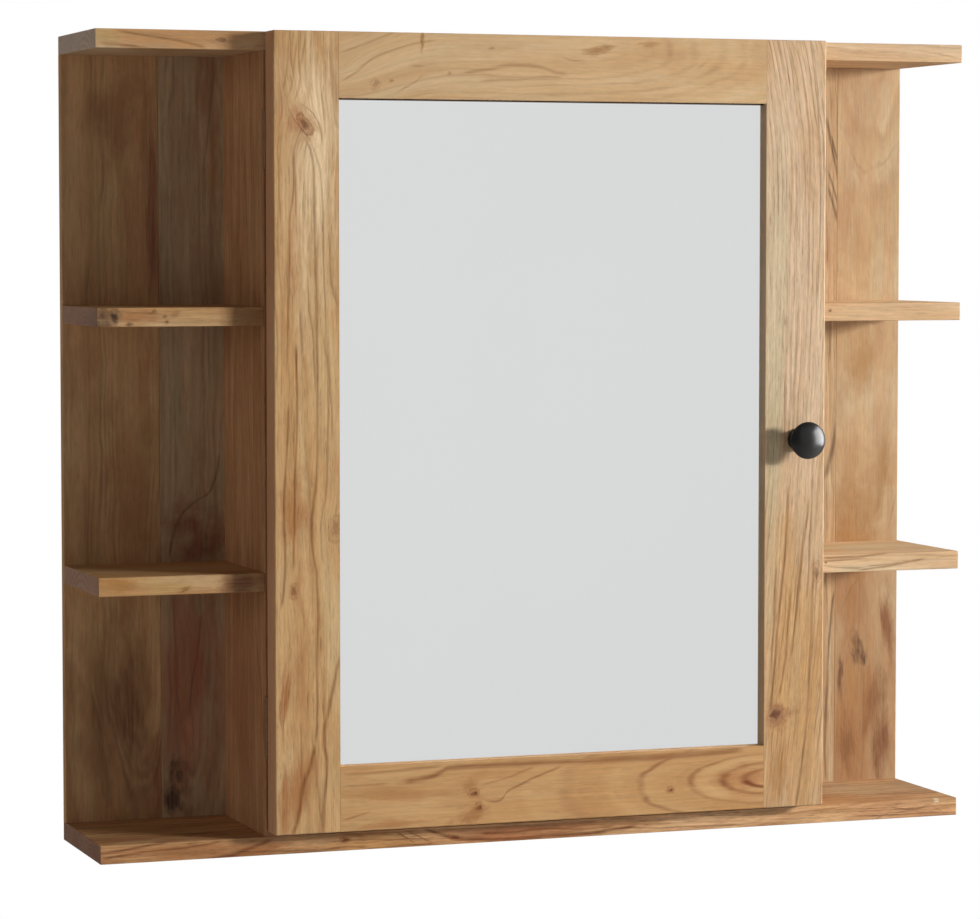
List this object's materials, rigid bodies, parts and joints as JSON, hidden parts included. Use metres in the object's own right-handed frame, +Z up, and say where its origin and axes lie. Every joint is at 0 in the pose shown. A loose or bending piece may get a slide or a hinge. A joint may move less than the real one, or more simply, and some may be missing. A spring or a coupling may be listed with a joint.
{
  "type": "wall mirror cabinet",
  "caption": "Wall-hung solid-wood mirror cabinet: a framed mirror door with a round knob, hinged on its left edge, closes a middle case between open side shelves.",
  "frame": {"origin": "centre of the flat back, on the wall plane", "axes": "+X to the right as seen from the front, +Y into the wall, +Z up; the door faces -Y"},
  "size_m": [0.8, 0.1935, 0.7],
  "materials": {
    "carcass_wood": "satin oiled, natural brown",
    "door_wood": "satin oiled, natural golden brown",
    "dowel_wood": "plain pale wood",
    "mirror": "silvered glass",
    "hardboard": "pressed board, matt",
    "black_metal": "satin black",
    "bronzed_steel": "dark bronzed",
    "zinc_steel": "zinc plated",
    "catch_plastic": "brown moulded",
    "magnet": "dark sintered",
    "felt": "brown felt"
  },
  "bodies": {
    "cabinet": {"top_panel": "carcass_wood", "bottom_shelf": "carcass_wood", "back_plank_1": "carcass_wood", "back_plank_2": "carcass_wood", "back_plank_3": "carcass_wood", "back_plank_4": "carcass_wood", "back_plank_5": "carcass_wood", "back_plank_6": "carcass_wood", "back_plank_7": "carcass_wood", "case_side_left": "carcass_wood", "case_side_right": "carcass_wood", "left_shelf_lower": "carcass_wood", "left_shelf_upper": "carcass_wood", "right_shelf_lower": "carcass_wood", "right_shelf_upper": "carcass_wood", "inner_shelf_lower": "carcass_wood", "inner_shelf_upper": "carcass_wood", "hanging_rail": "carcass_wood", "case_dowels": "dowel_wood", "plank_dowels": "dowel_wood", "shelf_dowels": "dowel_wood", "hinge_lower_case_leaf": "bronzed_steel", "hinge_lower_pin": "bronzed_steel", "hinge_upper_case_leaf": "bronzed_steel", "hinge_upper_pin": "bronzed_steel", "hinge_case_screws": "bronzed_steel", "back_screws": "zinc_steel", "rail_screws": "zinc_steel", "catch_screws": "zinc_steel", "catch_poles": "zinc_steel", "shelf_supports": "zinc_steel", "catch_housing": "catch_plastic", "catch_magnet": "magnet"},
    "door": {"door_stile_left": "door_wood", "door_stile_right": "door_wood", "door_rail_top": "door_wood", "door_rail_bottom": "door_wood", "mirror_bead_left": "door_wood", "mirror_bead_right": "door_wood", "mirror_bead_top": "door_wood", "mirror_bead_bottom": "door_wood", "mirror_glass": "mirror", "mirror_backing": "hardboard", "bead_brads": "zinc_steel", "knob_base": "black_metal", "knob_head": "black_metal", "knob_screw": "zinc_steel", "strike_plate": "zinc_steel", "strike_screws": "zinc_steel", "door_bumpers": "felt", "hinge_door_screws": "bronzed_steel", "hinge_lower_door_leaf": "bronzed_steel", "hinge_upper_door_leaf": "bronzed_steel"}
  },
  "joints": [
    {"name": "door_swing", "type": "hinge", "parent": "cabinet", "child": "door", "pos_m": [-0.2545, -0.13775, 0], "axis": [0, 0, -1], "range_deg": [0, 92]}
  ]
}
